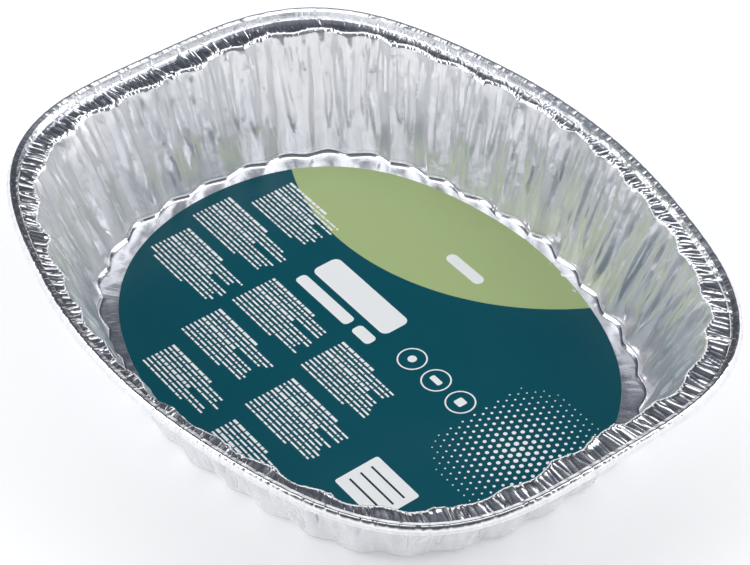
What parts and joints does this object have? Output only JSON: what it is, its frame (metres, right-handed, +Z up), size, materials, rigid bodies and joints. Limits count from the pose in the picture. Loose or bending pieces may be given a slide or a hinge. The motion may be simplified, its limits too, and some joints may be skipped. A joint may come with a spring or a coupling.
{
  "type": "foil roasting pan",
  "caption": "Large squarish oval roasting pan of pressed aluminium foil, with a fluted wall, a flat rim and a curled edge, and a loose printed sheet on its base.",
  "frame": {"origin": "centre of the pan on the plane it rests on", "axes": "+X along the long way of the pan, +Y across it, +Z up out of the open mouth"},
  "size_m": [0.41, 0.3198, 0.075],
  "materials": {
    "foil": "bright satin pressed foil, finely creased",
    "printed_paper": "semi-gloss printed paper"
  },
  "bodies": {
    "root": {"foil_pan": "foil", "printed_sheet": "printed_paper"}
  },
  "joints": []
}
